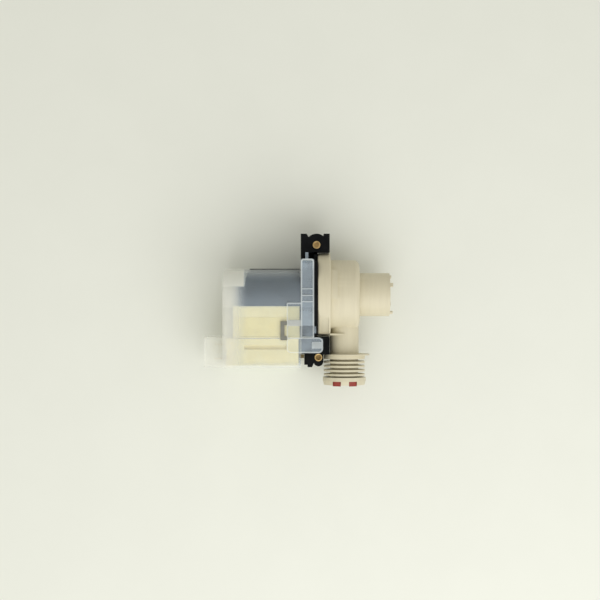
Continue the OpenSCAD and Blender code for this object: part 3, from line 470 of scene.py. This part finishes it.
cover_x, cover_y, cover_z = (cover_place.axis(name) for name in "XYZ")
cover_fine = cover_place.noise(size_mm=0.8, detail=2)
cover_cloud = cover_place.noise(size_mm=11, detail=3).band(*HAZE)
collar_part = cover_x.band(COLLAR_X - EDGE, COLLAR_X + EDGE)
body_part = 1 - collar_part
front_part = cover_z.band(FRONT_Z, FRONT_Z + 2 * FADE)
collar_front = collar_part * front_part
body_front = body_part * front_part
bead_part = cover_z.band(bead_top - 0.8 * BEAD_H, bead_top - 0.3 * BEAD_H)
raised_part = cover_z.band(deck - 0.8 * PAD_H, deck - 0.5 * PAD_H)
hook_part = cover_y.band(COLLAR_UP + EDGE, COLLAR_UP + 2 * EDGE)
foot_part = cover_y.band(FOOT_FROM, FOOT_TO)
# Painted sheen: the shoulder is whitened as if light played on its curve.
shoulder_sheen_part = cover_y.band(SHOULDER_FROM, SHOULDER_TO) * body_part
# Painted light: where the dark body ends, the wall is whitened as if the lit floor showed through.
step_light_part = cover_x.band(STEP_FROM, STEP_TO) * cover_y.band(STEP_Y, STEP_Y + 2 * FADE)
# Painted light: the bar over the noses' slot and the line over the gap at the carrier are whitened over their
# shade.
bar_light_part = cover_y.within(BAR_LOW, BAR_HIGH, FADE) * cover_x.band(BAR_X, BAR_X + FADE) * body_front
line_light_part = cover_y.within(LINE_LOW, LINE_HIGH, FADE / 2) * body_front
# The connector end is milkier wall, and its white is also painted light for the lit floor seen through it.
milk_and_painted_light = cover_x.band(END_FROM, END_TO)
for weight, part in ((0.5, bead_part), (0.7, foot_part), (0.6, shoulder_sheen_part), (1.0, step_light_part), (0.75, bar_light_part),
                     (0.5, line_light_part)):
    milk_and_painted_light = milk_and_painted_light.maths("MAXIMUM", milk_and_painted_light, weight * part)
tone_part = cover_y.band(TONE_FROM, TONE_TO) * cover_y.band(TONE_END, TONE_START)
rise_part = cover_y.within(RISE_LOW, RISE_HIGH, FADE) * cover_y.band(RISE_HIGH, RISE_FULL)
top_part = cover_y.band(TOP_FROM, TOP_TO)
dip_part = cover_y.within(DIP_LOW, DIP_HIGH, FADE)
collar_tone = RISE_ALPHA * (rise_part + top_part) - DIP_ALPHA * dip_part
cover_alpha = WALL_ALPHA + MILK_AND_LIGHT_ALPHA * milk_and_painted_light + collar_tone * collar_front
for weight, part in ((0.05, collar_part), (0.03, raised_part), (0.11, bead_part), (0.22, hook_part),
                     (0.02, cover_cloud), (0.05, cover_cloud * collar_part), (0.05, tone_part), (0.1, step_light_part)):
    cover_alpha = cover_alpha + weight * part
cover_colour = milk_and_painted_light.blend(cover_cloud.blend(COVER_BLUE, COVER_SHADE), MILK_AND_LIGHT_WHITE)
feed(cover_shader, Base_Color=cover_colour, Alpha=cover_alpha, Roughness=COVER_ROUGH + COVER_GLOSS * cover_fine,
     Normal=grain(cover_place, cover_fine, strength=0.05, depth_mm=0.03))
settle(soften("motor_cover", bevel_mm=0.5), cover_milky, "pump", "cover_milky", "motor_cover")

# Latch clip. A small C of grey plastic, moulded in one piece.
# It is pressed into a slot beside the cover's pad and opens towards the pump.
clip_grey = moulding("clip_grey", colour=(0.19, 0.19, 0.16), shade=(0.22, 0.22, 0.19), rough=0.45, grain_mm=0.5,
                     cloud_mm=6)
settle(soften("latch_clip", bevel_mm=0.15), clip_grey, "pump", "clip_grey", "latch_clip")

# Studio. A plain pale floor under the pump, soft daylight and a large softbox at the lower right.
# The camera looks straight down, as in the photo.
FLOOR_GAP = 0.1 * MM
FLOOR_Z = cad_low.z - FLOOR_GAP
FLOOR_HALF = 3
PAPER, PAPER_SHADE = (0.81, 0.825, 0.757, 1), (0.80, 0.815, 0.747, 1)
SKY_COLOUR = (1, 0.985, 0.92, 1)
SKY_STRENGTH = 0.65
LAMP_AT = Vector((0.3, -1.0, 1.0))
LAMP_AIM = Vector((-0.05, -0.05, 0))
LAMP_SIZE = 2.0
LAMP_POWER = 15.8
CAMERA_HEIGHT = 1.25
FRAME_WIDTH = 0.575
LOOK_AT = (-54.7 * MM, -5.0 * MM)
SENSOR = 36.0
floor_corners = ((-1, -1), (1, -1), (1, 1), (-1, 1))
floor = loose_mesh("floor", [(FLOOR_HALF * x, FLOOR_HALF * y, FLOOR_Z) for x, y in floor_corners], [(0, 1, 2, 3)])
paper, paper_shader, paper_place = new_finish("paper")
paper_cloud = paper_place.noise(size_mm=60, detail=3).band(*HAZE)
feed(paper_shader, Base_Color=paper_cloud.blend(PAPER, PAPER_SHADE), Roughness=0.9)
floor.data.materials.append(paper)

scene = bpy.context.scene
scene.world = bpy.data.worlds.new("studio")
scene.world.use_nodes = True
sky = scene.world.node_tree.nodes["Background"].inputs
sky["Color"].default_value = SKY_COLOUR
sky["Strength"].default_value = SKY_STRENGTH

softbox = bpy.data.lights.new("front_softbox", "AREA")
softbox.shape = "DISK"
softbox.size = LAMP_SIZE
softbox.energy = LAMP_POWER
softbox_holder = bpy.data.objects.new("front_softbox", softbox)
softbox_holder.location = LAMP_AT
softbox_holder.rotation_euler = (LAMP_AIM - LAMP_AT).to_track_quat("-Z", "Y").to_euler()
scene.collection.objects.link(softbox_holder)

lens = bpy.data.cameras.new("camera")
lens.sensor_width = SENSOR
lens.lens = SENSOR * CAMERA_HEIGHT / FRAME_WIDTH
camera = bpy.data.objects.new("camera", lens)
camera.location = (*LOOK_AT, FLOOR_Z + CAMERA_HEIGHT)
scene.collection.objects.link(camera)
scene.camera = camera
scene.view_settings.view_transform = "Standard"
